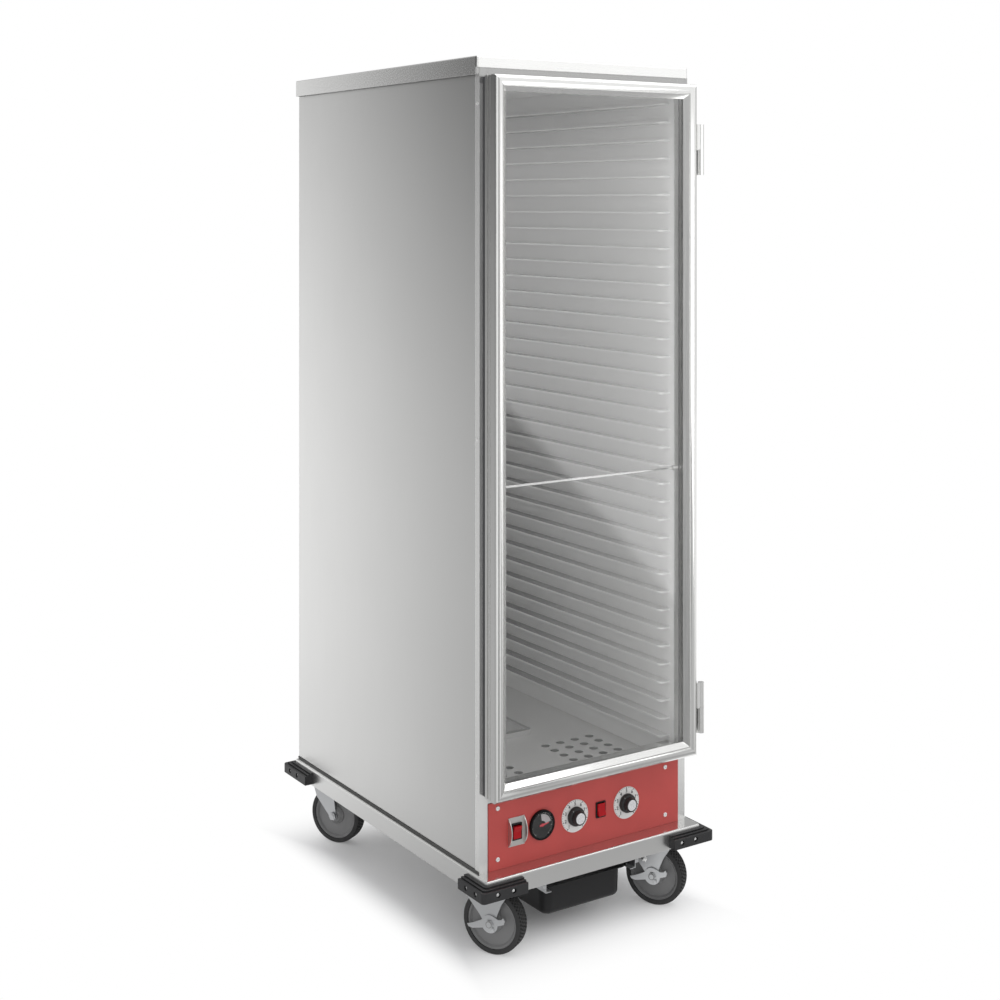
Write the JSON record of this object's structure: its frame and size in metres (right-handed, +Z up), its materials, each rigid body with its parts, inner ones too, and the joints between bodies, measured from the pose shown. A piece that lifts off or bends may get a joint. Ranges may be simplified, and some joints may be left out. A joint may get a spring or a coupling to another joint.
{
  "type": "heated holding cabinet",
  "caption": "Tall mobile heated holding cabinet for sheet pans: clear full-height door, ledged cabin, red control panel, drip tray and swivel casters.",
  "frame": {"origin": "on the floor under the middle of the cabinet's box", "axes": "+X to the right seen from the door, +Y from the door to the back, +Z up"},
  "size_m": [0.572, 0.86, 1.754],
  "materials": {
    "brushed_aluminium": "satin",
    "polished_aluminium": "polished",
    "door_aluminium": "polished",
    "base_aluminium": "satin",
    "cabin_aluminium": "satin",
    "bright_steel": "polished",
    "zinc_steel": "satin",
    "hinge_steel": "satin",
    "black_steel": "satin",
    "red_enamel": "satin",
    "guard_silver": "satin",
    "dial_silver": "satin",
    "black_plastic": "satin",
    "black_gloss_plastic": "gloss",
    "red_plastic": "gloss",
    "needle_red": "satin",
    "lens_glass": "gloss",
    "clear_pane": "gloss",
    "gasket_rubber": "matte",
    "bumper_rubber": "satin",
    "tyre_rubber": "matte",
    "hub_plastic": "satin",
    "tray_plastic": "satin",
    "insulation_wool": "matte"
  },
  "bodies": {
    "cabinet": {"back_liner": "cabin_aluminium", "back_skin": "brushed_aluminium", "base_frame": "base_aluminium", "bumper_screws": "bright_steel", "caster_channels": "base_aluminium", "caster_plates": "zinc_steel", "ceiling_liner": "cabin_aluminium", "control_chassis": "zinc_steel", "control_panel": "red_enamel", "cord_inlet": "black_plastic", "corner_bumpers": "bumper_rubber", "dial_plates": "dial_silver", "fan_motor": "black_steel", "floor_plate": "cabin_aluminium", "front_frame": "polished_aluminium", "front_sill": "polished_aluminium", "heating_element": "zinc_steel", "hinge_body_leaves": "hinge_steel", "insulation": "insulation_wool", "mode_switch_body": "black_plastic", "pan_slides": "cabin_aluminium", "panel_screws": "bright_steel", "post_rivets": "bright_steel", "power_switch_body": "black_plastic", "side_liners": "cabin_aluminium", "side_skins": "brushed_aluminium", "switch_guard": "guard_silver", "thermometer_case": "black_gloss_plastic", "thermometer_lens": "lens_glass", "thermostats": "black_plastic", "tie_rod": "bright_steel", "top_cap": "polished_aluminium", "tray_rails": "zinc_steel"},
    "door": {"door_stiles": "door_aluminium", "door_rails": "door_aluminium", "door_pane": "clear_pane", "door_gasket": "gasket_rubber", "hinge_door_leaves": "hinge_steel"},
    "front_left_swivel": {"front_left_fork": "zinc_steel"},
    "front_left_wheel": {"front_left_tyre": "tyre_rubber", "front_left_hub": "hub_plastic"},
    "front_left_brake": {"front_left_brake_lever": "zinc_steel"},
    "front_right_swivel": {"front_right_fork": "zinc_steel"},
    "front_right_wheel": {"front_right_tyre": "tyre_rubber", "front_right_hub": "hub_plastic"},
    "front_right_brake": {"front_right_brake_lever": "zinc_steel"},
    "rear_left_swivel": {"rear_left_fork": "zinc_steel"},
    "rear_left_wheel": {"rear_left_tyre": "tyre_rubber", "rear_left_hub": "hub_plastic"},
    "rear_right_swivel": {"rear_right_fork": "zinc_steel"},
    "rear_right_wheel": {"rear_right_tyre": "tyre_rubber", "rear_right_hub": "hub_plastic"},
    "heat_knob": {"heat_knob": "black_plastic"},
    "proof_knob": {"proof_knob": "black_plastic"},
    "power_rocker": {"power_rocker": "red_plastic"},
    "mode_rocker": {"mode_rocker": "red_plastic"},
    "thermometer_needle": {"thermometer_needle": "needle_red"},
    "drip_tray": {"drip_tray": "tray_plastic"},
    "water_pan": {"water_pan": "bright_steel"},
    "fan_wheel": {"fan_wheel": "zinc_steel"}
  },
  "joints": [
    {"name": "door_hinge", "type": "hinge", "parent": "cabinet", "child": "door", "pos_m": [0.264, -0.414, 1], "axis": [0, 0, 1], "range_deg": [0, 250]},
    {"name": "front_left_swivel_turn", "type": "hinge", "parent": "cabinet", "child": "front_left_swivel", "pos_m": [-0.2025, -0.33, 0.14], "axis": [0, 0, 1], "continuous": true},
    {"name": "front_left_wheel_spin", "type": "hinge", "parent": "front_left_swivel", "child": "front_left_wheel", "pos_m": [-0.19801, -0.3378, 0.0635], "axis": [-0.8669, -0.4985, 0], "continuous": true},
    {"name": "front_left_brake_press", "type": "hinge", "parent": "front_left_swivel", "child": "front_left_brake", "pos_m": [-0.19801, -0.3378, 0.0635], "axis": [-0.8669, -0.4985, 0], "range_deg": [-22, 22]},
    {"name": "front_right_swivel_turn", "type": "hinge", "parent": "cabinet", "child": "front_right_swivel", "pos_m": [0.2025, -0.33, 0.14], "axis": [0, 0, 1], "continuous": true},
    {"name": "front_right_wheel_spin", "type": "hinge", "parent": "front_right_swivel", "child": "front_right_wheel", "pos_m": [0.20699, -0.3378, 0.0635], "axis": [-0.8669, -0.4985, 0], "continuous": true},
    {"name": "front_right_brake_press", "type": "hinge", "parent": "front_right_swivel", "child": "front_right_brake", "pos_m": [0.20699, -0.3378, 0.0635], "axis": [-0.8669, -0.4985, 0], "range_deg": [-22, 22]},
    {"name": "rear_left_swivel_turn", "type": "hinge", "parent": "cabinet", "child": "rear_left_swivel", "pos_m": [-0.2025, 0.33, 0.14], "axis": [0, 0, 1], "continuous": true},
    {"name": "rear_left_wheel_spin", "type": "hinge", "parent": "rear_left_swivel", "child": "rear_left_wheel", "pos_m": [-0.19801, 0.3222, 0.0635], "axis": [-0.8669, -0.4985, 0], "continuous": true},
    {"name": "rear_right_swivel_turn", "type": "hinge", "parent": "cabinet", "child": "rear_right_swivel", "pos_m": [0.2025, 0.33, 0.14], "axis": [0, 0, 1], "continuous": true},
    {"name": "rear_right_wheel_spin", "type": "hinge", "parent": "rear_right_swivel", "child": "rear_right_wheel", "pos_m": [0.20699, 0.3222, 0.0635], "axis": [-0.8669, -0.4985, 0], "continuous": true},
    {"name": "heat_knob_turn", "type": "hinge", "parent": "cabinet", "child": "heat_knob", "pos_m": [-0.0305, -0.38, 0.2425], "axis": [0, 1, 0], "range_deg": [0, 270]},
    {"name": "proof_knob_turn", "type": "hinge", "parent": "cabinet", "child": "proof_knob", "pos_m": [0.0995, -0.38, 0.2425], "axis": [0, 1, 0], "range_deg": [0, 270]},
    {"name": "power_rocker_press", "type": "hinge", "parent": "cabinet", "child": "power_rocker", "pos_m": [-0.172, -0.374, 0.2425], "axis": [1, 0, 0], "range_deg": [-18, 0]},
    {"name": "mode_rocker_press", "type": "hinge", "parent": "cabinet", "child": "mode_rocker", "pos_m": [0.0335, -0.374, 0.2425], "axis": [1, 0, 0], "range_deg": [0, 18]},
    {"name": "thermometer_needle_turn", "type": "hinge", "parent": "cabinet", "child": "thermometer_needle", "pos_m": [-0.112, -0.375, 0.2425], "axis": [0, 1, 0], "range_deg": [-222, 58]},
    {"name": "drip_tray_slide", "type": "slide", "parent": "cabinet", "child": "drip_tray", "axis": [0, -1, 0], "range_m": [0, 0.28]},
    {"name": "water_pan_lift", "type": "slide", "parent": "cabinet", "child": "water_pan", "axis": [0, 0, 1], "range_m": [0, 0.12]},
    {"name": "fan_wheel_spin", "type": "hinge", "parent": "cabinet", "child": "fan_wheel", "pos_m": [-0.165, 0.06, 0.25], "axis": [0, 0, 1], "continuous": true}
  ]
}
